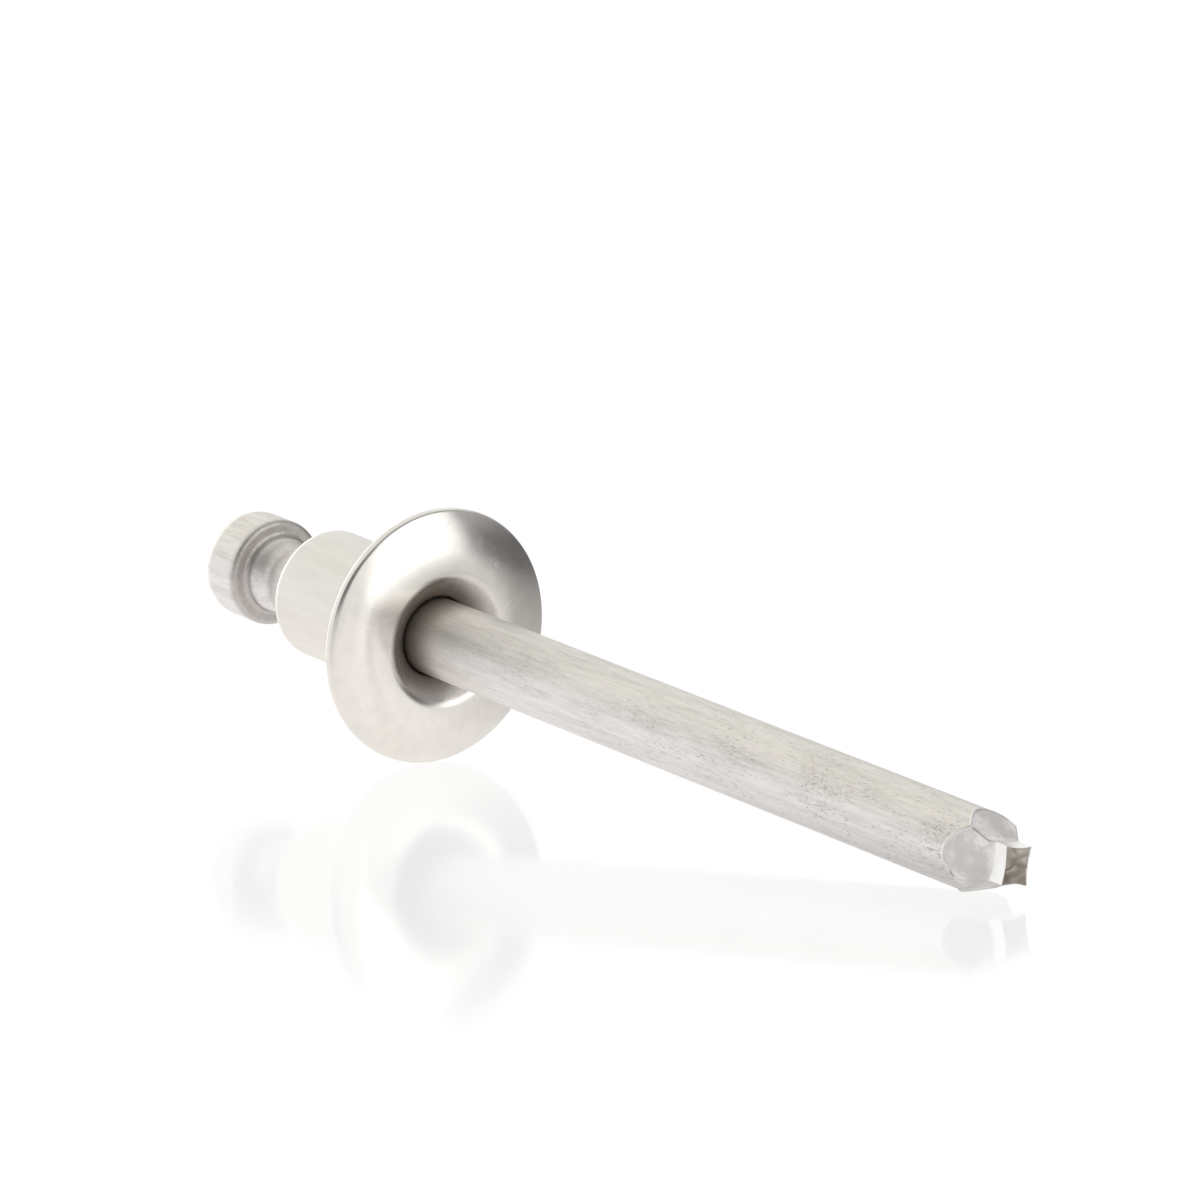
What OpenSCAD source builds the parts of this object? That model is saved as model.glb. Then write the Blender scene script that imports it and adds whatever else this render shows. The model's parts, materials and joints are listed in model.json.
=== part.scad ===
// Open-end blind rivet, unset: a flanged sleeve on the headed mandrel that sets it.
//
// The rivet lies as it comes to rest, on the rim of its flange and on the end of its
// mandrel. +X runs along the mandrel toward its tip, +Z is up, and z = 0 is the surface
// that it lies on. The origin is under the middle of the rivet.
//
// Each piece is turned about its own axis, with z = 0 in the underside of the flange
// and z growing toward the mandrel's tip, and is then laid down. All sizes are in mm.

/* [Sleeve] */
// Outer diameter of the sleeve
sleeve_d = 4.8; // [4.4:0.1:6]
// Length of the sleeve under the flange
sleeve_len = 6.8; // [5:0.1:12]
// Rounding of the sleeve's tail edge
tail_round = 0.45; // [0.1:0.05:0.6]
// Fillet between the sleeve and the underside of the flange
seat_fillet = 0.15; // [0.05:0.05:0.3]

/* [Flange] */
// Diameter of the flange
flange_d = 9.5; // [8.6:0.1:12]
// Height of the flange, from its underside to its crest
flange_h = 1.1; // [0.9:0.05:1.6]
// Rounding of the rim's two edges
rim_round = 0.2; // [0.1:0.05:0.3]
// Height of the straight land between the rim's two roundings
rim_land = 0.12; // [0.02:0.02:0.2]
// Diameter of the crest, the ring where the dome is highest
crest_d = 5.2; // [4.8:0.1:6]
// Rounding of the lip inside the crest
lip_round = 0.5; // [0.2:0.05:0.6]
// Slope of the funnel that leads from the lip down to the bore, in degrees
funnel_slope = 38; // [25:1:45]

/* [Mandrel] */
// Diameter of the mandrel's shank
mandrel_d = 2.85; // [2.3:0.05:3]
// Gap all round between the mandrel and the bore of the sleeve
bore_gap = 0.06; // [0.03:0.01:0.15]
// Reach of the mandrel, from the underside of the flange to its torn end
mandrel_reach = 33.3; // [27:0.1:45]

/* [Mandrel head] */
// Diameter of the mandrel's head
head_d = 4; // [3.5:0.05:4.3]
// Length of the head
head_len = 2.2; // [1.5:0.1:3]
// Rounding of the head's far end
head_round = 0.7; // [0.3:0.05:0.9]
// Rounding of the edge that faces the sleeve
head_edge = 0.2; // [0.05:0.05:0.3]
// Fillet between the head and the neck
neck_fillet = 0.2; // [0.05:0.05:0.25]
// Length of neck that shows between the head and the sleeve's tail
neck_len = 3; // [2.4:0.1:4]

/* [Break notch] */
// Depth of the notch where the mandrel breaks
notch_depth = 0.25; // [0.1:0.05:0.4]
// Radius of the notch's hollow
notch_round = 0.8; // [0.5:0.05:1]
// Distance from the head's underside to the middle of the notch
notch_at = 1; // [0.8:0.05:1.4]

/* [Pinched tip] */
// Slope of the four pinched faces, from the mandrel's axis, in degrees
pinch_slope = 30; // [20:1:40]
// Turn of the four faces about the axis, in degrees
pinch_roll = -7; // [-20:1:20]
// Radius where a pinched face curls into the nib
pinch_fillet = 0.45; // [0.1:0.05:0.6]
// Width of the nib that the pinching leaves
nib_w = 1.1; // [0.8:0.05:1.4]
// Height of the nib
nib_h = 1.35; // [0.8:0.05:1.6]
// Length of the nib past the wider pinched faces
nib_len = 0.65; // [0.3:0.05:1]
// Lean of the torn end, in degrees
tear_lean = 4; // [0:1:8]

/* [Hidden] */
$fn = 96;
// What a cut reaches past the surface that it cuts
over = 0.5;
// Turn of the sleeve's seam about its axis, off the line that the rivet rests on
seam_turn = 3.75;

// Sleeve and flange
sleeve_r = sleeve_d / 2;
mandrel_r = mandrel_d / 2;
bore_r = mandrel_r + bore_gap;
flange_r = flange_d / 2;
crest_r = crest_d / 2;

// Rim: a straight land between two rounds, and rim_c is the centre of the one by the dome
rim_c = [flange_r - rim_round, rim_round + rim_land];

// Dome: an arc that is level at the crest and runs smoothly into the rim's round
dome_run = rim_c[0] - crest_r;
dome_rise = flange_h - rim_c[1];
dome_r = (pow(dome_run, 2) + pow(dome_rise, 2) - pow(rim_round, 2))
    / (2 * (dome_rise - rim_round));
dome_c = [crest_r, flange_h - dome_r];
dome_dir = (rim_c - dome_c) / norm(rim_c - dome_c);

// Lip and funnel: the lip's round ends where it has the funnel's slope
lip_c = [crest_r, flange_h - lip_round];
funnel_top = lip_c + lip_round * [-sin(funnel_slope), cos(funnel_slope)];
funnel_foot = [bore_r, funnel_top[1] - (funnel_top[0] - bore_r) * tan(funnel_slope)];

// Mandrel, from the far end of its head to its torn end
head_r = head_d / 2;
neck_z = -sleeve_len - neck_len;
head_end_z = neck_z - head_len;
notch_c = [mandrel_r - notch_depth + notch_round, neck_z + notch_at];

// Pinched faces: the wider pair sets where they all start
nib_foot_z = mandrel_reach - nib_len;
pinch_z = nib_foot_z - (mandrel_r - nib_w / 2) / tan(pinch_slope);

// Rest: a line touches the rim's round by the dome and the end of the mandrel's lowest edge
heel_z = pinch_z + mandrel_r * (1 - cos(pinch_roll)) / tan(pinch_slope);
heel_run = heel_z - rim_c[1];
heel_drop = rim_c[0] - mandrel_r;
tilt = atan(heel_drop / heel_run) + asin(rim_round / norm([heel_run, heel_drop]));
rest_h = mandrel_r * cos(tilt) + heel_z * sin(tilt);

// Middle: halfway between the head's far end and the nib's far end
low_x = (head_end_z + head_round) * cos(tilt) - (head_r - head_round) * sin(tilt) - head_round;
high_x = mandrel_reach * cos(tilt) + nib_h / 2 * sin(tilt);
rest_x = -(low_x + high_x) / 2;

// Lays a turned piece down, with its tip along +X and toward the surface
module lay_down() {
    translate([rest_x, 0, rest_h])
        rotate([0, 90 + tilt, 0])
            children();
}

// Part of the section plane on the outer side of the bore
module beyond_bore() {
    translate([bore_r, -sleeve_len - over])
        square([flange_r, sleeve_len + flange_h + 2 * over]);
}

// Section of the sleeve below the flange, with its rounded tail and its seat fillet
module sleeve_section() {
    tail_c = [sleeve_r - tail_round, -sleeve_len + tail_round];
    translate([0, tail_c[1]])
        square([sleeve_r, -tail_c[1]]);
    translate([0, -sleeve_len])
        square([tail_c[0], sleeve_len]);
    translate(tail_c)
        circle(tail_round);
    difference() {
        translate([sleeve_r - over, -seat_fillet])
            square([over + seat_fillet, seat_fillet]);
        translate([sleeve_r + seat_fillet, -seat_fillet])
            circle(seat_fillet);
    }
}

// Section of the flange: rim, dome, lip and the funnel that leads into the bore
module flange_section() {
    translate([rim_c[0], rim_round])
        circle(rim_round);
    translate(rim_c)
        circle(rim_round);
    translate([crest_r, rim_round])
        square([flange_r - crest_r, rim_land]);
    intersection() {
        translate(dome_c)
            circle(dome_r);
        polygon([
            [crest_r, 0],
            [rim_c[0], 0],
            rim_c,
            rim_c + (rim_round + over) * dome_dir,
            [crest_r, flange_h + over]
        ]);
    }
    translate(lip_c)
        circle(lip_round);
    polygon([
        [bore_r - over, 0],
        [crest_r + over, 0],
        [crest_r + over, rim_round],
        lip_c,
        funnel_top,
        funnel_foot,
        [bore_r - over, funnel_foot[1]]
    ]);
}

// The sleeve with its domed flange, one piece
module rivet_body() {
    color([0.88, 0.87, 0.84])
        lay_down()
            rotate([0, 0, seam_turn])
                rotate_extrude()
                    intersection() {
                        union() {
                            sleeve_section();
                            flange_section();
                        }
                        beyond_bore();
                    }
}

// Section of the mandrel's head, neck and shank, with the break notch
module mandrel_section() {
    difference() {
        union() {
            translate([0, head_end_z + head_round])
                square([head_r, head_len - head_round - head_edge]);
            translate([0, head_end_z])
                square([head_r - head_round, head_len]);
            translate([head_r - head_round, head_end_z + head_round])
                circle(head_round);
            translate([0, neck_z - head_edge])
                square([head_r - head_edge, head_edge]);
            translate([head_r - head_edge, neck_z - head_edge])
                circle(head_edge);
            translate([0, neck_z - head_edge])
                square([mandrel_r, mandrel_reach + over - neck_z + head_edge]);
            neck_fillet_section();
        }
        translate(notch_c)
            circle(notch_round);
        translate([-head_r, head_end_z - over])
            square([head_r, mandrel_reach - head_end_z + 3 * over]);
    }
}

// Section of the fillet between the head's underside and the neck
module neck_fillet_section() {
    difference() {
        translate([0, neck_z])
            square([mandrel_r + neck_fillet, neck_fillet]);
        translate([mandrel_r + neck_fillet, neck_z + neck_fillet])
            circle(neck_fillet);
    }
}

// Outline of what one pinching jaw takes away, seen from the side: x is the distance
// from the axis, and the face ends on a nib that is 2 * half thick
module jaw_outline(half) {
    foot = [half, pinch_z + (mandrel_r - half) / tan(pinch_slope)];
    up = [0, 1];
    down = [sin(pinch_slope), -cos(pinch_slope)];
    // The round touches the face and the nib at the same distance from the foot
    touch = pinch_fillet * tan(pinch_slope / 2);
    round_c = foot + touch * up + [pinch_fillet, 0];
    far_x = mandrel_r + over;
    far_z = mandrel_reach + 2 * over;
    low = foot - (far_x - half) / down[0] * -down;
    polygon([
        foot + touch * up,
        round_c,
        foot + touch * down,
        low,
        [far_x, far_z],
        [half, far_z]
    ]);
    translate(round_c)
        circle(pinch_fillet);
}

// One pinching jaw's cut, on the side of the mandrel that angle points to
module jaw_cut(angle, half) {
    rotate([0, 0, angle])
        rotate([90, 0, 0])
            linear_extrude(height = 4 * mandrel_r, center = true)
                jaw_outline(half);
}

// The mandrel: head, neck, shank and the tip where the wire was pinched off
module mandrel() {
    color([0.78, 0.77, 0.75])
        lay_down()
            difference() {
                rotate_extrude()
                    mandrel_section();
                for (side = [0, 180]) {
                    jaw_cut(side + 90 + pinch_roll, nib_w / 2);
                    jaw_cut(side + pinch_roll, nib_h / 2);
                }
                translate([0, 0, mandrel_reach])
                    rotate([0, -tear_lean, 0])
                        translate([0, 0, mandrel_d])
                            cube(2 * mandrel_d, center = true);
            }
}

rivet_body();
mandrel();
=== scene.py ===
# %% [markdown]
# # A pop rivet on a white light table
#
# A pop rivet is two turned pieces on one axis: a soft flanged sleeve, and the headed wire
# that sets it, called the mandrel. Both are small enough to hide under a fingertip, so
# nearly all that the eye reads is metal: how sharply the dome mirrors, how matte the drawn
# wire is, and where the tip was pinched off.
#
# The lesson goes in this order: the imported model, the camera, the light tent and the light
# table, the two pieces as surfaces worked out with numpy, and then their metals.

import json
import math

import bpy
import numpy as np
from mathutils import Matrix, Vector


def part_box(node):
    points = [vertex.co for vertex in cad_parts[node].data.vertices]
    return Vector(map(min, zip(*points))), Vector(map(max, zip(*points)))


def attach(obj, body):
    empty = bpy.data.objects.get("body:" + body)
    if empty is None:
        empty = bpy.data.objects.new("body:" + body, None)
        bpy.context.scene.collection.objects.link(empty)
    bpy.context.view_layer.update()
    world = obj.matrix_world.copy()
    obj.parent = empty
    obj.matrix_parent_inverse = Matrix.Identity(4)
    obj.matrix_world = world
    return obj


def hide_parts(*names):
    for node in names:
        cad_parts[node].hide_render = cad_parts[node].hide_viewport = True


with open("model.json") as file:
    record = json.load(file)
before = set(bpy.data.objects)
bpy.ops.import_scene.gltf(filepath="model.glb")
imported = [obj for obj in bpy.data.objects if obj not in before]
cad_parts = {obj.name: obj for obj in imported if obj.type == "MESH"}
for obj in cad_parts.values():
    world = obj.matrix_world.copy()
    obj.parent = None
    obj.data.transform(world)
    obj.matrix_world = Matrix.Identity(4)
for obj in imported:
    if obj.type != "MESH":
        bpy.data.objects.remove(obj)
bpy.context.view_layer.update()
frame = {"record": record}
MM = 0.001


# %% [markdown]
# ## Camera
#
# The rivet is looked at from just above the table, from the side of its pinched tip. A long
# lens keeps the thin wire from looking like a cone. A camera can be keyed by hand, but it
# is clearer as an aim point, two angles and a distance. The azimuth, here and in the light
# tent, is measured from +X toward +Y.

# %% Place the camera
AIM = Vector((-1.970, 1.238, 6.953)) * MM
AZIMUTH, ELEVATION = math.radians(-37.08), math.radians(8.841)
DISTANCE = 278.44 * MM
SENSOR_WIDTH, LENS = 36, 234.84
NEAREST_SEEN = 10 * MM

away = Vector((
    math.cos(ELEVATION) * math.cos(AZIMUTH),
    math.cos(ELEVATION) * math.sin(AZIMUTH),
    math.sin(ELEVATION),
))
camera = bpy.data.objects.new("camera", bpy.data.cameras.new("camera"))
bpy.context.scene.collection.objects.link(camera)
camera.location = AIM + DISTANCE * away
camera.rotation_euler = (-away).to_track_quat("-Z", "Y").to_euler()
camera.data.sensor_width = SENSOR_WIDTH
camera.data.lens = LENS
camera.data.clip_start = NEAREST_SEEN
bpy.context.scene.camera = camera
print("camera at, mm:", [round(c / MM, 1) for c in camera.location])

# %% [markdown]
# ## Node helpers
#
# Materials below are written as short lists of nodes. One helper makes a node, sets its
# options, and either links or fills its sockets, and the others are short names for the
# nodes that come up most.

# %% Make nodes
def feed(tree, socket, value):
    """Links value to the input socket if it is an output socket, and otherwise sets it there."""
    if isinstance(value, bpy.types.NodeSocket):
        tree.links.new(value, socket)
    else:
        socket.default_value = value


def add(tree, kind, inputs=None, **options):
    """A node of that kind. inputs maps a socket's name or number to a value or an output."""
    made = tree.nodes.new(kind)
    for name, value in options.items():
        setattr(made, name, value)
    for name, value in (inputs or {}).items():
        feed(tree, made.inputs[name], value)
    return made


def maths(tree, operation, a, b=0.0, c=0.0):
    """The output of a Math node."""
    return add(tree, "ShaderNodeMath", {0: a, 1: b, 2: c}, operation=operation).outputs[0]


def product(tree, first, *others):
    """All the factors multiplied together."""
    for factor in others:
        first = maths(tree, "MULTIPLY", first, factor)
    return first


def ramp(tree, value, low, high, to_low=0.0, to_high=1.0):
    """value eased from to_low at low to to_high at high, and held outside."""
    keys = {"Value": value, "From Min": low, "From Max": high, "To Min": to_low, "To Max": to_high}
    return add(tree, "ShaderNodeMapRange", keys, interpolation_type="SMOOTHSTEP").outputs[0]


def blend_colour(tree, share, first, second, kind="MIX"):
    """first changed toward second by share, as colours."""
    keys = {0: share, 6: first, 7: second}
    return add(tree, "ShaderNodeMix", keys, data_type="RGBA", blend_type=kind).outputs[2]


# %% [markdown]
# An effect that is used more than once is a node group with named sockets, so that it is
# built once and placed with other values.

# %% Make and place groups
def group(name, takes, gives):
    """An empty shader node group, with what it takes in and what it gives out.

    takes maps each input's name to (type, default), and gives lists each output's name.
    """
    made = bpy.data.node_groups.new(name, "ShaderNodeTree")
    for label, (kind, default) in takes.items():
        socket = made.interface.new_socket(label, in_out="INPUT", socket_type="NodeSocket" + kind)
        if default is not None:
            socket.default_value = default
    for label in gives:
        made.interface.new_socket(label, in_out="OUTPUT", socket_type="NodeSocketFloat")
    return made, made.nodes.new("NodeGroupInput").outputs, made.nodes.new("NodeGroupOutput").inputs


def use(tree, node_group, inputs):
    """The outputs of a placed node group, with its own values."""
    return add(tree, "ShaderNodeGroup", inputs, node_tree=node_group).outputs


# %% [markdown]
# ## The light tent
#
# Polished metal has no look of its own: it shows what stands round it. Here that is a white
# tent with a bright window, a lamp behind and a few darker openings. They could be area
# lights and black cards, but a world made of soft-edged windows does the same, needs no
# objects, and casts the softest light. Each window is a rectangle seen in one direction:
# the direction is turned until the window lies straight ahead, and divided by its depth,
# which flattens the sphere onto a plane where the rectangle's sides are straight.

# %% Define one window of the tent
window, window_in, window_out = group("tent window", {
    "Direction": ("Vector", None),
    "Half Width": ("Float", 0.3),
    "Half Height": ("Float", 0.3),
    "Softness": ("Float", 0.1),
}, ["Mask"])
LEAST_DEPTH = 0.001

ahead = add(window, "ShaderNodeSeparateXYZ", {0: window_in["Direction"]}).outputs
depth = maths(window, "MAXIMUM", ahead["X"], LEAST_DEPTH)
sides = []
for part, half in (("Y", "Half Width"), ("Z", "Half Height")):
    reach = maths(window, "ABSOLUTE", maths(window, "DIVIDE", ahead[part], depth))
    inner = maths(window, "SUBTRACT", window_in[half], window_in["Softness"])
    outer = maths(window, "ADD", window_in[half], window_in["Softness"])
    sides.append(ramp(window, reach, inner, outer, 1.0, 0.0))
in_front = maths(window, "GREATER_THAN", ahead["X"], 0.0)
feed(window, window_out["Mask"], product(window, *sides, in_front))
print("tent window:", len(window.nodes), "nodes")

# %% [markdown]
# The tent's cloth is white, and a little yellower toward the roof. It hangs on the -X side:
# toward +X it stands open to a dim room, and the one fades into the other overhead. Each
# window is given by the direction of its middle, its half width and half height (as
# tangents), its softness and its colour, which is over 1 where it is brighter than the
# cloth. A later window covers an earlier one. The camera sees plain white wherever it looks
# past the table.

# %% Hang the tent
CLOTH, ROOF = (1.0, 1.0, 1.0, 1), (0.92, 0.908, 0.868, 1)
ROOF_FROM, ROOF_TO = 0.1, 0.8
DIM_ROOM = (0.42, 0.42, 0.43, 1)
OPEN_FROM, OPEN_TO = -0.35, 0.15
PLAIN_WHITE = (1, 1, 1, 1)
WINDOWS = {
    # azimuth and elevation in degrees, half width, half height, softness, colour
    "dim wall, far right": (88, 9, 0.95, 0.46, 0.17, (0.42, 0.41, 0.42)),
    "doorway in that wall": (78, 3, 0.60, 0.28, 0.20, (0.15, 0.145, 0.15)),
    "dark opening, near left": (-73, 24, 0.84, 0.62, 0.20, (0.20, 0.195, 0.20)),
    "pale strip along its foot": (-80, 2, 0.72, 0.17, 0.10, (0.74, 0.73, 0.725)),
    "pale screen by the camera": (-13, 10, 0.30, 0.46, 0.12, (0.92, 0.91, 0.89)),
    "bright window, near right": (17, 24, 0.42, 0.62, 0.14, (1.60, 1.59, 1.57)),
    "lamp, far left": (178, 8, 0.42, 0.38, 0.12, (1.75, 1.72, 1.66)),
}

world = bpy.data.worlds.new("light tent")
bpy.context.scene.world = world
world.use_nodes = True
sky = world.node_tree
sky.nodes.clear()
toward = add(sky, "ShaderNodeTexCoord").outputs["Generated"]
parts = add(sky, "ShaderNodeSeparateXYZ", {0: toward}).outputs
tent = blend_colour(sky, ramp(sky, parts["Z"], ROOF_FROM, ROOF_TO), CLOTH, ROOF)
tent = blend_colour(sky, ramp(sky, parts["X"], OPEN_FROM, OPEN_TO), tent, DIM_ROOM)
for azimuth, elevation, half_width, half_height, softness, colour in WINDOWS.values():
    turned = add(
        sky, "ShaderNodeMapping",
        {"Vector": toward, "Rotation": (0, -math.radians(elevation), math.radians(azimuth))},
        vector_type="TEXTURE",
    ).outputs[0]
    mask = use(sky, window, {
        "Direction": turned,
        "Half Width": half_width,
        "Half Height": half_height,
        "Softness": softness,
    })["Mask"]
    tent = blend_colour(sky, mask, tent, (*colour, 1))
seen = add(sky, "ShaderNodeLightPath").outputs["Is Camera Ray"]
tent = blend_colour(sky, seen, tent, PLAIN_WHITE)
light = add(sky, "ShaderNodeBackground", {"Color": tent, "Strength": 1.0}).outputs[0]
add(sky, "ShaderNodeOutputWorld", {"Surface": light})
print("tent windows:", list(WINDOWS))

# %% [markdown]
# ## The light table
#
# The rivet lies on a glossy white sheet that is lit from below, so it has hardly a shadow
# but keeps a faint mirror image. A plain diffuse floor would need far more light to turn
# white, and it would burn out the metal. So the sheet glows, most strongly on the camera's
# left, under a clear surface that mirrors more the flatter one looks along it. To the
# camera the glow is evened out and the mirror kept weak, which leaves the ground white.

# %% Lay the sheet
TABLE_HALF = 2.0
SQUARE = ((-1, -1), (1, -1), (1, 1), (-1, 1))

table_mesh = bpy.data.meshes.new("light_table")
table_corners = [(x * TABLE_HALF, y * TABLE_HALF, 0) for x, y in SQUARE]
table_mesh.from_pydata(table_corners, [], [(0, 1, 2, 3)])
table = bpy.data.objects.new("light_table", table_mesh)
bpy.context.scene.collection.objects.link(table)
print("light table: %.0f m across" % (2 * TABLE_HALF))

# %% Light it from below
WARM_GLOW = (1.0, 0.972, 0.945, 1)
GLOW_SLANT = 0.35
BRIGHT_SIDE, DIM_SIDE = -5 * MM, 12 * MM
BRIGHT_GLOW, DIM_GLOW = 1.0, 0.58
CLEAR_IOR, CLEAR_ROUGH = 1.5, 0.05
SEEN_GLOW, SEEN_MIRROR, SEEN_ROUGH = 1.02, 0.20, 0.09

sheet = bpy.data.materials.new("opal sheet")
sheet.use_nodes = True
opal = sheet.node_tree
opal.nodes.clear()


def glowing(colour, strength):
    """The sheet's own light."""
    return add(opal, "ShaderNodeEmission", {"Color": colour, "Strength": strength}).outputs[0]


def mirroring(roughness):
    """The mirror on top of the sheet."""
    keys = {"Color": PLAIN_WHITE, "Roughness": roughness}
    return add(opal, "ShaderNodeBsdfGlossy", keys).outputs[0]


def either(share, first, second):
    """first shader changed toward second by share."""
    return add(opal, "ShaderNodeMixShader", {0: share, 1: first, 2: second}).outputs[0]


on_sheet = add(opal, "ShaderNodeTexCoord").outputs["Object"]
on_sheet = add(opal, "ShaderNodeSeparateXYZ", {0: on_sheet}).outputs
across = maths(opal, "MULTIPLY_ADD", on_sheet["X"], GLOW_SLANT, on_sheet["Y"])
glow = ramp(opal, across, BRIGHT_SIDE, DIM_SIDE, BRIGHT_GLOW, DIM_GLOW)
flatness = add(opal, "ShaderNodeFresnel", {"IOR": CLEAR_IOR}).outputs[0]
to_rivet = either(flatness, glowing(WARM_GLOW, glow), mirroring(CLEAR_ROUGH))
to_camera = either(SEEN_MIRROR, glowing(PLAIN_WHITE, SEEN_GLOW), mirroring(SEEN_ROUGH))
seen = add(opal, "ShaderNodeLightPath").outputs["Is Camera Ray"]
add(opal, "ShaderNodeOutputMaterial", {"Surface": either(seen, to_rivet, to_camera)})
table_mesh.materials.append(sheet)
bpy.context.scene.view_settings.view_transform = "Standard"
print(sheet.name, "has", len(opal.nodes), "nodes")

# %% [markdown]
# ## The axis
#
# Both pieces are turned about one axis, which dips toward the tip because the rivet lies on
# its flange's rim and on the end of its wire. It is easiest to work each piece out upright,
# with z along the axis from the underside of the flange, and to lay it down last. The place
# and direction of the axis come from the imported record, so the looks can't drift from the
# CAD.

# %% Find the axis and lay points down
seat = next(m for m in frame["record"]["mounts"] if m["name"] == "seat")
TO_TIP = -np.array(seat["axis"], float)
TO_TIP /= np.linalg.norm(TO_TIP)
TO_SIDE = np.array([0.0, 1.0, 0.0])
TO_TABLE = np.cross(TO_SIDE, TO_TIP)
SEAT = np.array([seat["pos_m"][0], 0.0, seat["pos_m"][2]])
TILT = math.atan2(-TO_TIP[2], TO_TIP[0])


def lay_down(x, y, z):
    """Points in metres from upright ones in mm.

    x goes toward the table, y to the side, and z along the axis to the tip.
    """
    upright = np.stack(np.broadcast_arrays(x, y, z), axis=-1)
    return SEAT + MM * upright @ np.stack([TO_TABLE, TO_SIDE, TO_TIP])


print("the axis dips %.3f degrees" % math.degrees(TILT))

# %% [markdown]
# ## Turned sections
#
# A turned piece is its section carried round the axis, so the section is all there is to
# draw. It is a row of (radius, z) points made from straight runs and arcs. A straight run
# stops about a hundredth of a millimetre short of its corners, so that every corner gets
# the tiny bevel that real ones have, and smooth shading stays true beside it.

# %% Draw runs and arcs
EDGE = 0.012


def run(start, end, count=2):
    """Points on a straight line between two corners, each end drawn in by EDGE."""
    start, end = np.array(start, float), np.array(end, float)
    inset = EDGE / np.linalg.norm(end - start)
    return start + (end - start) * np.linspace(inset, 1 - inset, count)[:, None]


def arc(centre, radius, first, last, step=5.0):
    """Points on an arc: centre plus radius times (cos, sin) of angles in degrees."""
    count = max(3, int(math.ceil(abs(last - first) / step)) + 1)
    angles = np.radians(np.linspace(first, last, count))
    return np.array(centre) + radius * np.stack([np.cos(angles), np.sin(angles)], axis=-1)


# %% [markdown]
# The points of a piece lie in a grid: a row for each point of the section, and a column for
# each angle. Each cell of the grid becomes a face, whose corners are taken in the order that
# turns it outward. A ring-shaped piece joins its last row to its first, and a solid one
# closes each end with a fan round a single point.

# %% Cover a grid with skin
def skin(name, grid, poles=None):
    """A mesh object over a (rows, columns, 3) grid that closes round its columns.

    With poles, a point in metres closes each end; without, the last row joins the first.
    """
    rows, columns, _ = grid.shape
    index = np.arange(rows * columns).reshape(rows, columns)
    beside = np.roll(index, -1, axis=1)
    above, above_beside = np.roll(index, -1, axis=0), np.roll(beside, -1, axis=0)
    points = grid.reshape(-1, 3)
    cells = np.stack([index, beside, above_beside, above], axis=-1)
    if poles is None:
        faces = cells.reshape(-1, 4).tolist()
    else:
        low, high = np.full(columns, rows * columns), np.full(columns, rows * columns + 1)
        faces = cells[:-1].reshape(-1, 4).tolist()
        faces += np.stack([low, beside[0], index[0]], axis=-1).tolist()
        faces += np.stack([high, index[-1], beside[-1]], axis=-1).tolist()
        points = np.vstack([points, poles])
    mesh = bpy.data.meshes.new(name)
    mesh.from_pydata(points.tolist(), [], faces)
    mesh.polygons.foreach_set("use_smooth", np.ones(len(mesh.polygons), bool))
    mesh.update()
    made = bpy.data.objects.new(name, mesh)
    bpy.context.scene.collection.objects.link(made)
    print(name, "has", sum(len(f) - 2 for f in faces), "triangles")
    return made


def mark(piece, name, values):
    """Stores one number at each point, for the piece's material to read."""
    marks = piece.data.attributes.new(name, "FLOAT", "POINT")
    marks.data.foreach_set("value", np.asarray(values, np.float32).ravel())


# %% [markdown]
# ## The flanged sleeve
#
# The sleeve and its domed flange are pressed from one slug. Its section runs up the outside
# and down the bore: rounded tail, straight sleeve, a small fillet under the flange, the rim
# with its two rounded edges, the dome, which is highest at a ring called the crest, the lip
# inside the crest, and the funnel that leads down to the bore. Lathing a curve with the
# Screw modifier would make it too, but a computed grid also tells each point what part of
# the section it is on. The dome takes a polish that the sleeve doesn't, and the funnel and
# the bore are browned by grease and darkened by painted shade.

# %% Work out the sleeve's corners and centres, in mm
SLEEVE_R, SLEEVE_LEN = 2.4, 6.8
TAIL_ROUND, SEAT_FILLET = 0.45, 0.15
FLANGE_R = (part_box("rivet_body")[1].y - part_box("rivet_body")[0].y) / 2 / MM
FLANGE_H, RIM_ROUND, RIM_LAND = 1.1, 0.2, 0.12
CREST_R, LIP_ROUND, FUNNEL_SLOPE = 2.6, 0.5, 38.0
WIRE_R, BORE_GAP = 1.425, 0.06
BORE_R = WIRE_R + BORE_GAP

rim_low = np.array([FLANGE_R - RIM_ROUND, RIM_ROUND])
rim = rim_low + (0, RIM_LAND)
dome_run, dome_rise = rim[0] - CREST_R, FLANGE_H - rim[1]
dome_r = (dome_run ** 2 + dome_rise ** 2 - RIM_ROUND ** 2) / (2 * (dome_rise - RIM_ROUND))
dome = np.array([CREST_R, FLANGE_H - dome_r])
dome_end = math.degrees(math.atan2(*(rim - dome)[::-1]))
lip = np.array([CREST_R, FLANGE_H - LIP_ROUND])
lip_end = 90 + FUNNEL_SLOPE
funnel_top = arc(lip, LIP_ROUND, 90, lip_end)[-1]
funnel_drop = (funnel_top[0] - BORE_R) * math.tan(math.radians(FUNNEL_SLOPE))
funnel_foot = np.array([BORE_R, funnel_top[1] - funnel_drop])
tail = (SLEEVE_R - TAIL_ROUND, TAIL_ROUND - SLEEVE_LEN)
fillet = (SLEEVE_R + SEAT_FILLET, -SEAT_FILLET)
print("dome radius %.3f mm, funnel's foot %.3f mm above the underside" % (dome_r, funnel_foot[1]))
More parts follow.
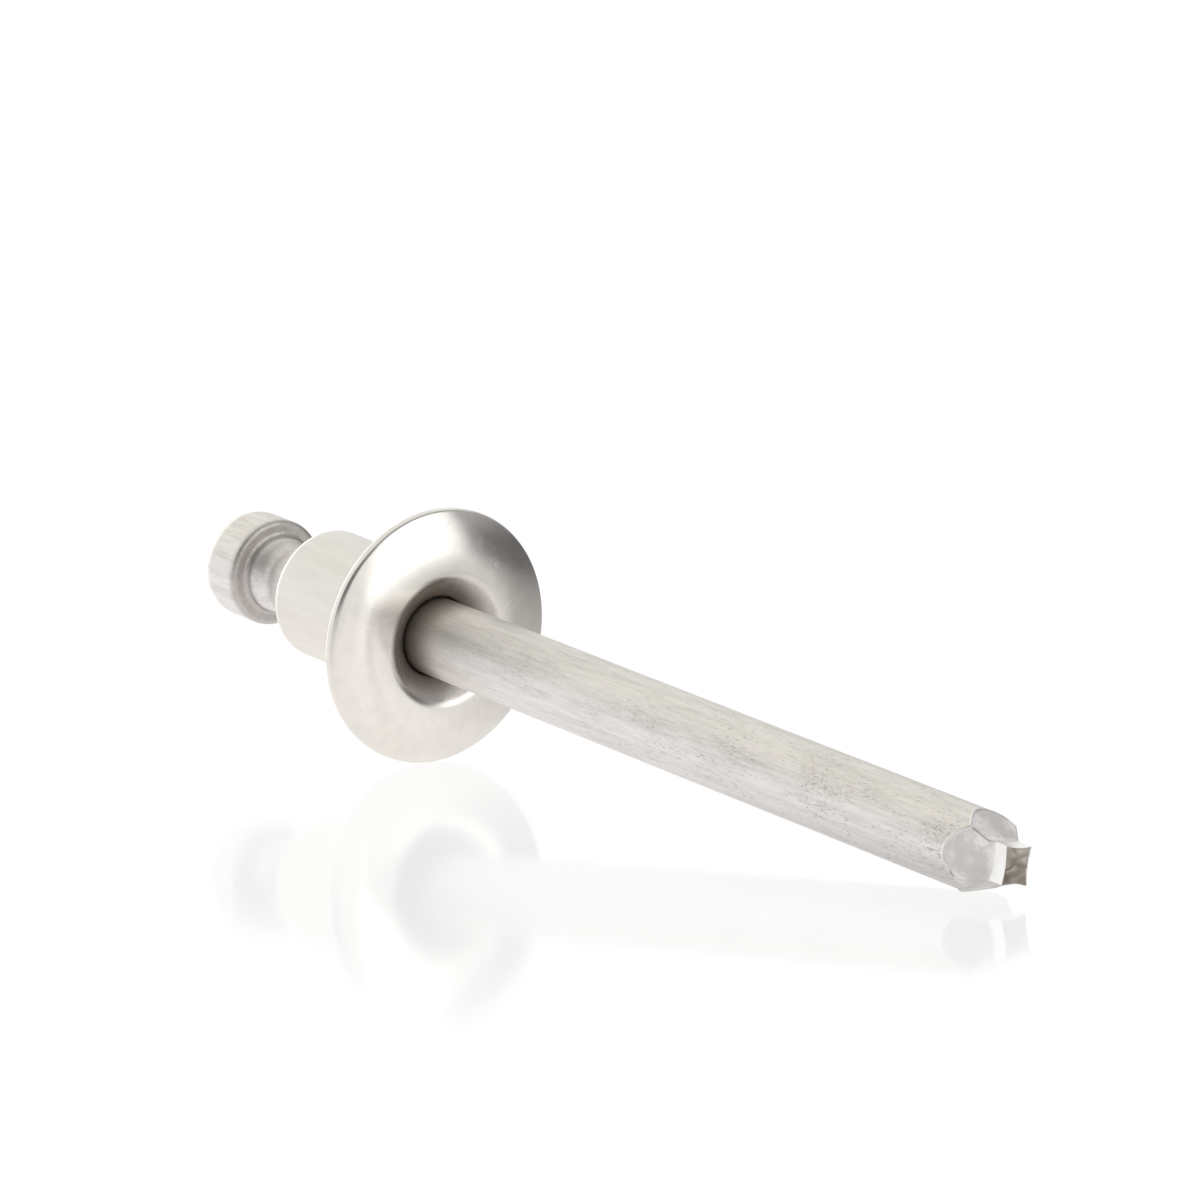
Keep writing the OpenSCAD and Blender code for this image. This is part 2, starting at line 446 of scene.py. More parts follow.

# %% [markdown]
# Each stretch of the section carries how polished it is and how thick the grease and
# painted shade lie at its end. The polish changes from stretch to stretch, and the grease and
# painted shade grow evenly along each, from the crest down into the bore.

# %% Draw the sleeve's section
SECTION = {
    # polish, grease and painted shade at the end, points
    "tail": (0.0, 0.0, run((BORE_R, -SLEEVE_LEN), (tail[0], -SLEEVE_LEN), 4)),
    "tail's round": (0.8, 0.0, arc(tail, TAIL_ROUND, -90, 0)),
    "sleeve": (0.0, 0.0, run((SLEEVE_R, tail[1]), (SLEEVE_R, fillet[1]), 24)),
    "fillet": (0.0, 0.0, arc(fillet, SEAT_FILLET, 180, 90)),
    "underside": (0.2, 0.0, run((fillet[0], 0), (rim[0], 0), 10)),
    "rim's round below": (0.5, 0.0, arc(rim_low, RIM_ROUND, -90, 0, 6)[1:]),
    "rim's round above": (0.8, 0.0, arc(rim, RIM_ROUND, 0, dome_end, 5)),
    "dome": (1.0, 0.0, arc(dome, dome_r, dome_end, 90, 1.0)[1:]),
    "lip": (0.8, 0.10, arc(lip, LIP_ROUND, 90, lip_end, 3)[1:]),
    "funnel": (0.3, 0.50, run(funnel_top, funnel_foot, 8)[1:]),
    "bore": (0.0, 1.0, run(funnel_foot, (BORE_R, -SLEEVE_LEN), 12)),
}

polishes, grease_and_shade_ends, stretches = zip(*SECTION.values())
section = np.vstack(stretches)
counts = [len(points) for points in stretches]
polish = np.repeat(polishes, counts)
# This number is grease and painted shade: it browns and darkens the funnel and the bore
grease_and_shade = np.interp(np.arange(len(section)), np.cumsum(counts), grease_and_shade_ends)
print("sleeve section:", len(section), "points in", len(SECTION), "stretches")

# %% Carry it round the axis
SLEEVE_COLUMNS = 256

turn = np.linspace(0, 2 * math.pi, SLEEVE_COLUMNS, endpoint=False)
radius, along = section[:, :1], section[:, 1:]
sleeve = skin("flanged_sleeve", lay_down(radius * np.cos(turn), radius * np.sin(turn), along))
mark(sleeve, "polish", np.repeat(polish, SLEEVE_COLUMNS))
mark(sleeve, "grease_and_shade", np.repeat(grease_and_shade, SLEEVE_COLUMNS))

# %% [markdown]
# ## The mandrel
#
# The mandrel is a nail turned round: a head that will be pulled into the sleeve, a neck with
# the notch where it will break, and a long plain wire. Its far end was pinched off by four
# jaws. They leave four sloping faces, and a square nib where the wire finally tore.
#
# The pinched end could be cut with booleans, but their edges come out knife-sharp and the
# shading round them is poor. Here the whole wire is one radius, worked out for every angle
# and height: the smallest of the turned radius and of the distance to each jaw's face. A
# soft minimum rounds the edges between them as pressed metal is rounded.

# %% Draw the mandrel's section, in mm
REACH = 33.3
HEAD_R, HEAD_LEN, HEAD_ROUND, HEAD_EDGE = 2.0, 2.2, 0.7, 0.2
NECK_LEN, NECK_FILLET = 3.0, 0.2
NOTCH_DEPTH, NOTCH_ROUND, NOTCH_AT = 0.25, 0.8, 1.0
NECK_Z = -SLEEVE_LEN - NECK_LEN
HEAD_END_Z = NECK_Z - HEAD_LEN
NOTCH_Z = NECK_Z + NOTCH_AT
# The end's fan starts at this radius, and the close rows of the tip at this height
FAN_R, TIP_FROM = 0.02, 30.9

notch_centre = (WIRE_R - NOTCH_DEPTH + NOTCH_ROUND, NOTCH_Z)
notch_half = math.degrees(math.acos((NOTCH_ROUND - NOTCH_DEPTH) / NOTCH_ROUND))
notch = arc(notch_centre, NOTCH_ROUND, 180 + notch_half, 180 - notch_half)
wire = np.vstack([
    run((FAN_R, HEAD_END_Z), (HEAD_R - HEAD_ROUND, HEAD_END_Z), 6),
    arc((HEAD_R - HEAD_ROUND, HEAD_END_Z + HEAD_ROUND), HEAD_ROUND, -90, 0),
    run((HEAD_R, HEAD_END_Z + HEAD_ROUND), (HEAD_R, NECK_Z - HEAD_EDGE), 5),
    arc((HEAD_R - HEAD_EDGE, NECK_Z - HEAD_EDGE), HEAD_EDGE, 0, 90),
    arc((WIRE_R + NECK_FILLET, NECK_Z + NECK_FILLET), NECK_FILLET, 270, 180),
    notch[1:-1],
    run(notch[-1], (WIRE_R, TIP_FROM), 40),
])
print("mandrel section:", len(wire), "points")

# %% [markdown]
# Each jaw's face is a line in the side view: it slopes in toward the axis, curls into the
# nib on a fillet, and ends square. Its distance from the axis is therefore a function of
# height alone, which is what the soft minimum needs.

# %% Distance of a jaw's face from the axis
PINCH_SLOPE, PINCH_ROLL, PINCH_FILLET = math.radians(30), math.radians(-7), 0.45
NIB_W, NIB_H, NIB_LEN, TEAR_LEAN = 1.1, 1.35, 0.65, math.radians(4)
NIB_FOOT = REACH - NIB_LEN
PINCH_Z = NIB_FOOT - (WIRE_R - NIB_W / 2) / math.tan(PINCH_SLOPE)
TOUCH = PINCH_FILLET * math.tan(PINCH_SLOPE / 2)


def jaw_distance(z, half):
    """A slope of PINCH_SLOPE down to half, then an arc of PINCH_FILLET, then half all the way."""
    foot = PINCH_Z + (WIRE_R - half) / math.tan(PINCH_SLOPE)
    slope = half + (foot - z) * math.tan(PINCH_SLOPE)
    drop = np.clip(z - foot - TOUCH, -PINCH_FILLET, 0)
    curl = half + PINCH_FILLET - np.sqrt(PINCH_FILLET ** 2 - drop ** 2)
    return np.where(z < foot - TOUCH * math.cos(PINCH_SLOPE), slope, curl)


print("faces start at %.2f mm and the nib at %.2f mm" % (PINCH_Z, NIB_FOOT))

# %% [markdown]
# Columns of the grid are bent so that four of them always run down the ridges between the
# faces. Without that, a ridge would cross the columns and come out saw-toothed. So the turn
# is split into eight sectors, each from the middle of a face to a ridge or back, and the
# columns are spread evenly over each sector.

# %% Bend the columns to the ridges
SECTOR_COLUMNS = 36
TIP_ROWS = 120
QUARTER = math.pi / 2
# Where sectors start and end: (quarter turns, times the ridge's angle)
BORDERS = ((0, 0), (0, 1), (1, 0), (2, -1), (2, 0), (2, 1), (3, 0), (4, -1), (4, 0))

tip_z = np.linspace(TIP_FROM, REACH, TIP_ROWS + 1)[1:]
all_z = np.concatenate([wire[:, 1], tip_z])[:, None]
all_r = np.concatenate([wire[:, 0], np.full(TIP_ROWS, WIRE_R)])[:, None]
top_bottom, sideways = jaw_distance(all_z, NIB_H / 2), jaw_distance(all_z, NIB_W / 2)
ridge = np.arctan2(sideways, top_bottom)
borders = np.concatenate([quarters * QUARTER + sign * ridge for quarters, sign in BORDERS], axis=1)
column = np.arange((len(BORDERS) - 1) * SECTOR_COLUMNS)
sector, share = column // SECTOR_COLUMNS, (column % SECTOR_COLUMNS) / SECTOR_COLUMNS
angle = PINCH_ROLL + borders[:, sector] * (1 - share) + borders[:, sector + 1] * share
print("mandrel grid:", len(all_z), "rows of", len(column), "columns")

# %% [markdown]
# A soft minimum turns each length over and raises it to a high power, adds the results, and
# takes the sum back again, so that the shortest length outweighs the others. Before that,
# the nib's sides are pulled in a little between its corners, as pressed metal is.

# %% Work out the radius at every angle and height
PULL_IN, PULL_BEFORE, PULL_OVER = 0.07, 0.25, 0.5
SHARPNESS = 46
# Least cosine between a direction and a jaw's own, and the cosine below which the jaw is too
# far round to press there
LEAST_FACING, TOO_FAR_ROUND = 1e-3, 0.3
# Rows at the end of the plain wire that take part in the soft minimum
JOINING_ROWS = 3


def growing(z, start, length):
    """0 up to the height start, then evenly up to 1 over that length, and 1 above."""
    return np.clip((z - start) / length, 0, 1)


pull = PULL_IN * growing(all_z, NIB_FOOT - PULL_BEFORE, PULL_OVER)
shrink = (1 / all_r) ** SHARPNESS * np.ones_like(angle)
nearest = np.full_like(angle, np.inf)
jaws = 2 * [(top_bottom, NIB_H / 2, NIB_W / 2), (sideways, NIB_W / 2, NIB_H / 2)]
for k, (distance, half, other) in enumerate(jaws):
    off = angle - PINCH_ROLL - k * QUARTER
    facing = np.maximum(np.cos(off), LEAST_FACING)
    lateral = np.clip(half * np.tan(np.where(facing > TOO_FAR_ROUND, off, 0)) / other, -1, 1)
    face = distance - pull * (1 - lateral ** 2)
    shrink += (facing / face) ** SHARPNESS
    nearest = np.minimum(nearest, face / facing)
radius = shrink ** (-1 / SHARPNESS)
plain_rows = len(wire) - JOINING_ROWS
radius[:plain_rows] = all_r[:plain_rows]
print("radius at the nib, mm: %.3f to %.3f" % (radius[-1].min(), radius[-1].max()))

# %% [markdown]
# Pressed metal also swells: a fine, uneven burr stands along each face's curved edge. The
# edge lies where the nearest face and the plain wire are equally far from the axis, so the
# burr is a narrow bell curve of their difference.

# %% Raise the burr
BURR, BURR_WIDTH, BURR_UNEVEN = 0.036, 0.027, 0.5
BURR_WAVES, BURR_ROUND, BURR_LENGTHS, BURR_SEED = 6, (2, 9), (0.3, 1.0), 3


def ripple(a, z):
    """Smooth seeded unevenness: a sum of sines of the angle and height, mostly -1.5 to 1.5."""
    dice = np.random.default_rng(BURR_SEED)
    total = 0
    for _ in range(BURR_WAVES):
        times_round = dice.integers(*BURR_ROUND)
        length, start = dice.uniform(*BURR_LENGTHS), dice.uniform(0, 2 * math.pi)
        total = total + np.sin(times_round * a + z * 2 * math.pi / length + start)
    return total / BURR_WAVES ** 0.5


burr_line = np.exp(-(((nearest - all_r) / BURR_WIDTH) ** 2)) * (all_z > TIP_FROM)
uneven = 1 + BURR_UNEVEN * ripple(angle, all_z)
radius = radius + BURR * burr_line * uneven
print("burr stands out by up to %.3f mm" % (BURR * burr_line * uneven).max())

# %% [markdown]
# The torn end leans, is hollow on one side, and is rough in the middle. It is a cap of rings,
# each a smaller copy of the nib's outline, closed by a single point. Where the wire rests on
# the table the burr is pressed flat, so no point is left below the table.

# %% Tear the end
CAP_RINGS = np.array([0.985, 0.95, 0.88, 0.78, 0.66, 0.54, 0.42, 0.30, 0.18, 0.08])[:, None]
TORN_RINGS = CAP_RINGS < 0.97
HOLLOW, HOLLOW_X, HOLLOW_Y = 0.24, (0.2, 0.28), (-0.02, 0.3)
ROUGH, ROUGH_SINK, ROUGH_R_SQUARED = 0.30, 0.3, 0.5
ROUGH_WAVES, ROUGH_PER_MM, ROUGH_SEED = 9, (5, 16), 11
LEAN_OVER = 0.35


def torn(x, y):
    """How far the torn end stands out: a leaning plane, less a hollow, plus seeded ripples.

    The hollow is a bell curve, and the ripples are sines in random directions that fade
    away from the middle.
    """
    dice = np.random.default_rng(ROUGH_SEED)
    rough = 0
    for _ in range(ROUGH_WAVES):
        way, start = dice.uniform(0, math.pi), dice.uniform(0, 2 * math.pi)
        waves_along = dice.uniform(*ROUGH_PER_MM) * (x * math.cos(way) + y * math.sin(way))
        rough = rough + np.sin(waves_along + start) / ROUGH_WAVES
    bell = ((x - HOLLOW_X[0]) / HOLLOW_X[1]) ** 2 + ((y - HOLLOW_Y[0]) / HOLLOW_Y[1]) ** 2
    middle = np.clip(1 - (x ** 2 + y ** 2) / ROUGH_R_SQUARED, 0, 1)
    return x * math.tan(TEAR_LEAN) - HOLLOW * np.exp(-bell) + ROUGH * middle * (rough - ROUGH_SINK)


cap_r = radius[-1] * CAP_RINGS
cap_x, cap_y = cap_r * np.cos(angle[-1]), cap_r * np.sin(angle[-1])
cap_z = REACH + torn(cap_x, cap_y) - EDGE * TORN_RINGS
edge_x, edge_y = radius * np.cos(angle), radius * np.sin(angle)
share_of_lean = growing(all_z, REACH - LEAN_OVER, LEAN_OVER) ** 2
body_z = all_z + share_of_lean * edge_x * math.tan(TEAR_LEAN)
grid = np.concatenate([
    lay_down(edge_x, edge_y, body_z),
    lay_down(cap_x, cap_y, cap_z),
])
grid[..., 2] = np.maximum(grid[..., 2], 0)
middles = np.stack([
    lay_down(0, 0, HEAD_END_Z),
    lay_down(0, 0, REACH + torn(0.0, 0.0) - EDGE),
])
mandrel = skin("headed_mandrel", grid, middles)

# %% [markdown]
# The metal needs to know where it was pinched, torn, curled or swollen. Four numbers are
# stored at each point: along the wire first, then on the cap, then at the two middles.

# %% Mark the pinched faces and the torn end
FACE_EDGE = 0.006
# Enough for a sharp edge, and small enough for exp
STEEPEST = 50
CURL_BEFORE, CURL_OVER = 0.15, 0.25

inside = np.clip((nearest - all_r) / FACE_EDGE, -STEEPEST, STEEPEST)
on_wire = {
    "pinched": (all_z > TIP_FROM) / (1 + np.exp(inside)),
    "torn": np.zeros_like(angle),
    "curl": growing(all_z, NIB_FOOT - CURL_BEFORE, CURL_OVER) * np.ones_like(angle),
    "burr": burr_line,
}
on_cap = {"pinched": 1.0, "torn": TORN_RINGS, "curl": 0.0, "burr": 0.0}
on_middles = {"pinched": [0, 1], "torn": [0, 1], "curl": [0, 0], "burr": [0, 0]}
for name, values in on_wire.items():
    cap_values = np.broadcast_to(on_cap[name], cap_r.shape)
    mark(mandrel, name, np.concatenate([values.ravel(), cap_values.ravel(), on_middles[name]]))
print("mandrel marks:", list(on_wire))

# %% [markdown]
# ## Marks that both metals carry
#
# Three effects turn plain metal into this one. Drawing leaves fine lines along the axis.
# Handling leaves hairline scratches in all directions. Age leaves pits and specks. Each is
# a node group, so that both metals can use it at their own scale and strength.
#
# All of them read the object's own coordinates, turned so that the first one runs along the
# axis. A stretched noise then makes lines along it with no seam, which a wrapped map would
# have.

# %% Turn and stretch a noise
NOISE_LOW, NOISE_MIDDLE, NOISE_HIGH = 0.3, 0.5, 0.7


def axis_coordinates(tree):
    """Object coordinates in mm, turned so that X runs along the axis from the underside."""
    keys = {
        "Vector": add(tree, "ShaderNodeTexCoord").outputs["Object"],
        "Location": tuple(SEAT),
        "Rotation": (0, TILT, 0),
        "Scale": (MM, MM, MM),
    }
    return add(tree, "ShaderNodeMapping", keys, vector_type="TEXTURE").outputs[0]


def squeezed(tree, vector, along, across):
    """The coordinates times along on X, and times across on Y and Z."""
    scale = add(tree, "ShaderNodeCombineXYZ", {"X": along, "Y": across, "Z": across}).outputs[0]
    return add(tree, "ShaderNodeVectorMath", {0: vector, 1: scale}, operation="MULTIPLY").outputs[0]


def noise(tree, vector, scale=1.0, detail=2.0, roughness=0.5, distortion=0.0):
    """A smooth random value at each place, mostly between 0.3 and 0.7."""
    keys = {
        "Vector": vector, "Scale": scale, "Detail": detail,
        "Roughness": roughness, "Distortion": distortion,
    }
    return add(tree, "ShaderNodeTexNoise", keys).outputs[0]


# %% Build the drawn lines
BROADER = 0.2

drawn, drawn_in, drawn_out = group("drawn lines", {
    "Vector": ("Vector", None),
    "Lines per mm": ("Float", 12.0),
    "Stretch": ("Float", 12.0),
}, ["Lines", "Bands"])
across = drawn_in["Lines per mm"]
along = maths(drawn, "DIVIDE", across, drawn_in["Stretch"])
fine = squeezed(drawn, drawn_in["Vector"], along, across)
broad = squeezed(
    drawn, drawn_in["Vector"], product(drawn, along, BROADER), product(drawn, across, BROADER)
)
fine, broad = noise(drawn, fine, detail=3.0, roughness=0.6), noise(drawn, broad)
feed(drawn, drawn_out["Lines"], ramp(drawn, fine, NOISE_LOW, NOISE_HIGH))
feed(drawn, drawn_out["Bands"], ramp(drawn, broad, NOISE_LOW, NOISE_HIGH))
print(drawn.name, "has", len(drawn.nodes), "nodes")

# %% [markdown]
# A pit is where a grainy noise passes a limit. The limit falls with the amount that is asked
# for, and falls further in broad patches, so that pits come in crowds.

# %% Build the pits and specks
PATCH_ALONG, PATCH_ACROSS = 0.35, 0.7
PATCH_LOW, PATCH_HIGH = 0.35, 0.65
LIMIT, LIMIT_DROP, PATCH_DROP, PIT_EDGE = 0.74, 0.3, 0.05, 0.08

pits, pits_in, pits_out = group("pits and specks", {
    "Vector": ("Vector", None),
    "Pits per mm": ("Float", 6.0),
    "Stretch": ("Float", 3.0),
    "Amount": ("Float", 0.3),
}, ["Mask", "Patches"])
across = pits_in["Pits per mm"]
along = maths(pits, "DIVIDE", across, pits_in["Stretch"])
grain = noise(pits, squeezed(pits, pits_in["Vector"], along, across), detail=4.0, roughness=0.65)
patches = noise(pits, squeezed(pits, pits_in["Vector"], PATCH_ALONG, PATCH_ACROSS))
patchy = ramp(pits, patches, PATCH_LOW, PATCH_HIGH)
limit = maths(pits, "SUBTRACT", LIMIT, product(pits, pits_in["Amount"], LIMIT_DROP))
limit = maths(pits, "SUBTRACT", limit, product(pits, patchy, PATCH_DROP))
feed(pits, pits_out["Mask"], ramp(pits, grain, limit, maths(pits, "ADD", limit, PIT_EDGE)))
feed(pits, pits_out["Patches"], patchy)
print(pits.name, "has", len(pits.nodes), "nodes")

# %% [markdown]
# A hairline is where a smooth noise crosses its middle value: such a crossing is a thin
# wandering line. A second noise keeps it only in smears.

# %% Build the hairline scratches
SMEAR_SCALE, SMEAR_LOW, SMEAR_HIGH = 0.6, 0.4, 0.65

scratches, scratches_in, scratches_out = group("hairline scratches", {
    "Vector": ("Vector", None),
    "Scale": ("Float", 1.5),
    "Width": ("Float", 0.01),
}, ["Mask", "Smears"])
bent = noise(
    scratches, scratches_in["Vector"], scratches_in["Scale"], detail=1.0, distortion=0.6
)
hair = maths(scratches, "ABSOLUTE", maths(scratches, "SUBTRACT", bent, NOISE_MIDDLE))
line = ramp(scratches, hair, 0.0, scratches_in["Width"], 1.0, 0.0)
smear_scale = product(scratches, scratches_in["Scale"], SMEAR_SCALE)
smears = noise(scratches, scratches_in["Vector"], smear_scale, detail=4.0)
smear = ramp(scratches, smears, SMEAR_LOW, SMEAR_HIGH)
feed(scratches, scratches_out["Mask"], product(scratches, line, smear))
feed(scratches, scratches_out["Smears"], smear)
print(scratches.name, "has", len(scratches.nodes), "nodes")

# %% [markdown]
# ## Coats and dents
#
# Both metals are finished alike. The colour is bare metal under coats that are laid in turn,
# each where its mask shows. The height for the bump is the drawn lines, dented by pits and
# scratches. Both then go to the Principled shader.

# %% Lay coats, press dents and finish a metal
def fresh_material(name):
    """A material with only its Principled shader and its output, and its node tree."""
    made = bpy.data.materials.new(name)
    made.use_nodes = True
    return made, made.node_tree


def marked(tree, name):
    """The number that mark stored under that name."""
    return add(tree, "ShaderNodeAttribute", attribute_name=name).outputs["Fac"]


def lay_coats(tree, colour, coats):
    """colour under coats laid in turn, each given by its mask, its strength and its colour."""
    for mask, strength, coat in coats:
        colour = blend_colour(tree, product(tree, mask, strength), colour, coat)
    return colour


def dented(tree, height, dents):
    """height less each dent, which is given by its mask and its depth."""
    for mask, deep in dents:
        height = maths(tree, "SUBTRACT", height, product(tree, mask, deep))
    return height


def blend_value(tree, share, first, second):
    """first changed toward second by share, as numbers."""
    return add(tree, "ShaderNodeMix", {0: share, 2: first, 3: second}, data_type="FLOAT").outputs[0]


def finish_metal(piece, metal, colour, rough, height, relief, strength):
    """Feeds a metal's shader and puts it on its piece. relief is the bump's depth in mm."""
    tree = metal.node_tree
    keys = {"Height": height, "Distance": relief * MM, "Strength": strength}
    bump = add(tree, "ShaderNodeBump", keys).outputs[0]
    shader = tree.nodes["Principled BSDF"]
    fed = {"Base Color": colour, "Roughness": rough, "Normal": bump, "Metallic": 1.0}
    for name, value in fed.items():
        feed(tree, shader.inputs[name], value)
    piece.data.materials.append(metal)
    print(metal.name, "has", len(tree.nodes), "nodes")


# %% [markdown]
# ## The sleeve's metal
#
# Tumbled aluminium, pale and slightly warm. The dome was pressed against a polished die, so
# it mirrors softly. The sleeve below it keeps a satin skin with faint lines along it. The
# `polish` attribute tells the two apart, and the grease attribute browns the funnel and
# the bore with grease and painted shade, and hides their specks.

# %% Finish the sleeve
ALUMINIUM, PALE_ALUMINIUM = (0.80, 0.78, 0.742, 1), (0.84, 0.818, 0.78, 1)
# The second colour on the next line is grease, browned and darkened as painted shade
ALUMINIUM_SPECK, GREASE_AND_SHADE = (0.55, 0.53, 0.50, 1), (0.30, 0.22, 0.165, 1)
GREASE_AND_SHADE_POWER = 0.9
SATIN_ROUGH, DOME_ROUGH = (0.36, 0.46), (0.16, 0.20)

satin, tree = fresh_material("tumbled aluminium")
place, shine, grease_and_painted_shade = axis_coordinates(tree), marked(tree, "polish"), marked(tree, "grease_and_shade")
lines = use(tree, drawn, {"Vector": place, "Lines per mm": 9.0, "Stretch": 14.0})
specks = use(tree, pits, {"Vector": place, "Pits per mm": 5.0, "Stretch": 1.5, "Amount": 0.12})
hairs = use(tree, scratches, {"Vector": place, "Scale": 0.9, "Width": 0.006})
clean = maths(tree, "SUBTRACT", 1.0, grease_and_painted_shade)
speck = product(tree, clean, clean, specks["Mask"])

colour = blend_colour(tree, lines["Bands"], ALUMINIUM, PALE_ALUMINIUM)
colour = lay_coats(tree, colour, [
    (speck, 0.5, ALUMINIUM_SPECK),
    # grease with painted shade in the funnel and the bore
    (maths(tree, "POWER", grease_and_painted_shade, GREASE_AND_SHADE_POWER), 1.0, GREASE_AND_SHADE),
])
rough = blend_value(
    tree, shine,
    ramp(tree, lines["Lines"], 0.0, 1.0, *SATIN_ROUGH),
    ramp(tree, hairs["Smears"], 0.0, 1.0, *DOME_ROUGH),
)
height = product(tree, lines["Lines"], maths(tree, "SUBTRACT", 1.0, shine))
height = dented(tree, height, [(hairs["Mask"], 0.8), (speck, 1.5)])
finish_metal(sleeve, satin, colour, rough, height, relief=0.003, strength=0.6)

# %% [markdown]
# ## The mandrel's metal
#
# Drawn steel wire with a dull plating: grey, matte, streaked along its length and pitted,
# more so toward the tip. Grease and painted shade darken it where it goes into the funnel,
# painted shade fills the corner under the head, and a setting tool's jaws have left a
# crinkled band of small marks along the top. The first step is to say where each of these
# shows, by the distance from the underside of the flange and by the height above the axis.

# %% Find where the wire takes grease, painted shade, wear or grip marks
# Each is (from, to, share at from, share at to), the first two in mm
# The first two give grease with painted shade where the wire leaves the funnel
GREASE_AND_SHADE_FADES, SLEEVE_STARTS = (0.5, 2.4, 1.0, 0.0), (-6.6, -6.2, 0.0, 1.0)
# Painted shade in the corner under the head fades over these distances from it
CORNER_SHADE_FADES = (0.05, 0.45, 1.0, 0.0)
WEAR_GROWS = (-6.0, 28.0, 0.2, 1.0)
GRIP_GROWS = (6.0, 26.0, 0.0, 1.0)
GRIP_RISES, GRIP_FADES = (0.0, 0.6, 0.0, 1.0), (0.7, 1.2, 1.0, 0.3)
CRINKLE_ALONG, CRINKLE_ACROSS = 7.0, 14.0
CRINKLE_LOW, CRINKLE_HIGH = 0.45, 0.60

wire_metal, tree = fresh_material("drawn steel")
place = axis_coordinates(tree)
lines = use(tree, drawn, {"Vector": place, "Lines per mm": 14.0, "Stretch": 16.0})
specks = use(tree, pits, {"Vector": place, "Pits per mm": 15.0, "Stretch": 4.0, "Amount": 0.42})
hairs = use(tree, scratches, {"Vector": place, "Scale": 2.2, "Width": 0.02})
placed = add(tree, "ShaderNodeSeparateXYZ", {0: place}).outputs
from_seat, upward = placed["X"], placed["Z"]

marks = {name: marked(tree, name) for name in on_wire}
unpinched = maths(tree, "SUBTRACT", 1.0, marks["pinched"])
# Grease and painted shade from the funnel, darkest where the wire leaves the flange
grease_and_painted_shade = product(tree, ramp(tree, from_seat, *GREASE_AND_SHADE_FADES), ramp(tree, from_seat, *SLEEVE_STARTS))
# Painted shade in the corner between the head and the neck
from_corner = maths(tree, "ABSOLUTE", maths(tree, "SUBTRACT", from_seat, NECK_Z))
painted_corner_shade = ramp(tree, from_corner, *CORNER_SHADE_FADES)
worn = ramp(tree, from_seat, *WEAR_GROWS)
speck = product(tree, specks["Mask"], unpinched, worn)
gripped = product(
    tree,
    ramp(tree, from_seat, *GRIP_GROWS),
    ramp(tree, upward, *GRIP_RISES),
    ramp(tree, upward, *GRIP_FADES),
    product(tree, unpinched, specks["Patches"]),
)
crinkle = squeezed(tree, place, CRINKLE_ALONG, CRINKLE_ACROSS)
crinkle = noise(tree, crinkle, detail=3.0, roughness=0.7)
crinkle = product(tree, ramp(tree, crinkle, CRINKLE_LOW, CRINKLE_HIGH), gripped)
print("places to colour:", len(tree.nodes), "nodes")

# %% [markdown]
# The pinched faces are burnished by the jaws, in smears. The burrs and the curl into the nib
# get a painted highlight, and the torn end is dark and rough. These come last, over all the
# coats of the drawn wire.

# %% Colour the wire and its tip
STEEL, PALE_STEEL = (0.71, 0.695, 0.692, 1), (0.84, 0.823, 0.82, 1)
# The warm colour on the next line is painted warm light for the top of the wire
STEEL_LINES, PAINTED_WARM_LIGHT = (0.91, 0.893, 0.888, 1), (0.98, 0.97, 0.925, 1)
# The corner colour on the next line is painted shade under the head
GRIP_MARKS, PAINTED_CORNER_SHADE = (0.46, 0.42, 0.36, 1), (0.30, 0.27, 0.25, 1)
# The dark grease colour on the next line is grease with painted shade from the funnel
GREASE_WITH_PAINTED_SHADE, STEEL_SPECK = (0.16, 0.135, 0.12, 1), (0.36, 0.34, 0.32, 1)
BURNISHED, BRIGHT_SMEAR = (0.74, 0.725, 0.72, 1), (0.98, 0.965, 0.96, 1)
# The bright edge colour on the next line is a painted highlight for the burrs and the curl
JAW_HAIR, PAINTED_EDGE_HIGHLIGHT = (0.50, 0.48, 0.47, 1), (0.98, 0.975, 0.96, 1)
# Heights above the axis over which painted warm light tints the top of the wire
WARM_LIGHT_FROM, WARM_LIGHT_TO = 0.0, 0.9
TORN_DARK, TORN_PALE = (0.34, 0.30, 0.26, 1), (0.60, 0.565, 0.52, 1)

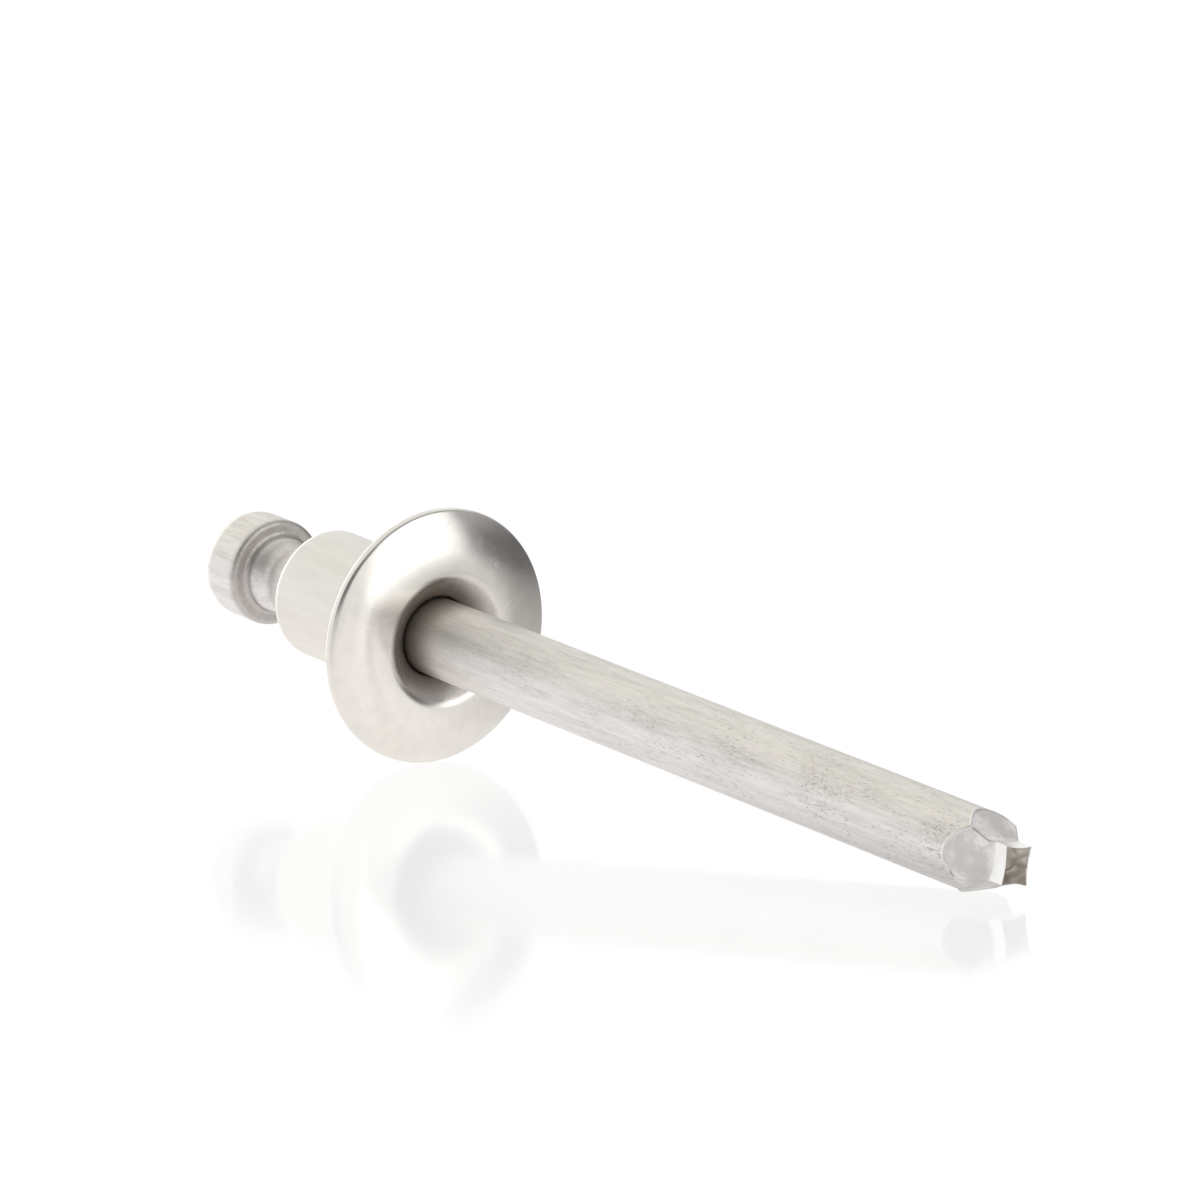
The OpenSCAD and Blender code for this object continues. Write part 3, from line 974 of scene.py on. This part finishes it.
burnished = blend_colour(tree, hairs["Smears"], BURNISHED, BRIGHT_SMEAR)
burnished = lay_coats(tree, burnished, [(hairs["Mask"], 0.6, JAW_HAIR)])
# Painted highlight along the burrs and the curl into the nib
painted_edge_highlight = maths(tree, "MAXIMUM", marks["curl"], product(tree, marks["burr"], 0.9))
scab = blend_colour(tree, specks["Patches"], TORN_DARK, TORN_PALE)

colour = blend_colour(tree, lines["Bands"], STEEL, PALE_STEEL)
colour = lay_coats(tree, colour, [(lines["Lines"], 0.5, STEEL_LINES)])
# Painted warm light: the top of the wire is tinted warmer than its underside
colour = blend_colour(tree, ramp(tree, upward, WARM_LIGHT_FROM, WARM_LIGHT_TO), colour, PAINTED_WARM_LIGHT, "MULTIPLY")
colour = lay_coats(tree, colour, [
    (crinkle, 0.42, GRIP_MARKS),
    # painted shade in the corner under the head
    (painted_corner_shade, 0.45, PAINTED_CORNER_SHADE),
    # grease with painted shade from the funnel
    (grease_and_painted_shade, 0.80, GREASE_WITH_PAINTED_SHADE),
    (speck, 0.55, STEEL_SPECK),
    (marks["pinched"], 1.0, burnished),
    # painted highlight on the burrs and the curl
    (painted_edge_highlight, 1.0, PAINTED_EDGE_HIGHLIGHT),
    (marks["torn"], 1.0, scab),
])
print("places and colours:", len(tree.nodes), "nodes")

# %% Finish the mandrel
WIRE_ROUGH, PINCHED_ROUGH, TORN_ROUGH = (0.50, 0.40), 0.30, 0.62

rough = ramp(tree, lines["Lines"], 0.0, 1.0, *WIRE_ROUGH)
rough = blend_value(tree, marks["pinched"], rough, PINCHED_ROUGH)
rough = blend_value(tree, marks["torn"], rough, TORN_ROUGH)
height = product(tree, lines["Lines"], unpinched)
height = dented(tree, height, [(speck, 1.0), (crinkle, 1.2), (hairs["Mask"], 0.3)])
finish_metal(mandrel, wire_metal, colour, rough, height, relief=0.008, strength=0.7)

# %% [markdown]
# ## Put both pieces in place of the CAD parts
#
# Each piece stands for the CAD node that it was worked out from, and rides on the one body.

# %% Ride and replace
for piece, cad_node, slot in ((sleeve, "rivet_body", "sleeve"), (mandrel, "mandrel", "mandrel")):
    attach(piece, "root")
    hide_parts(cad_node)
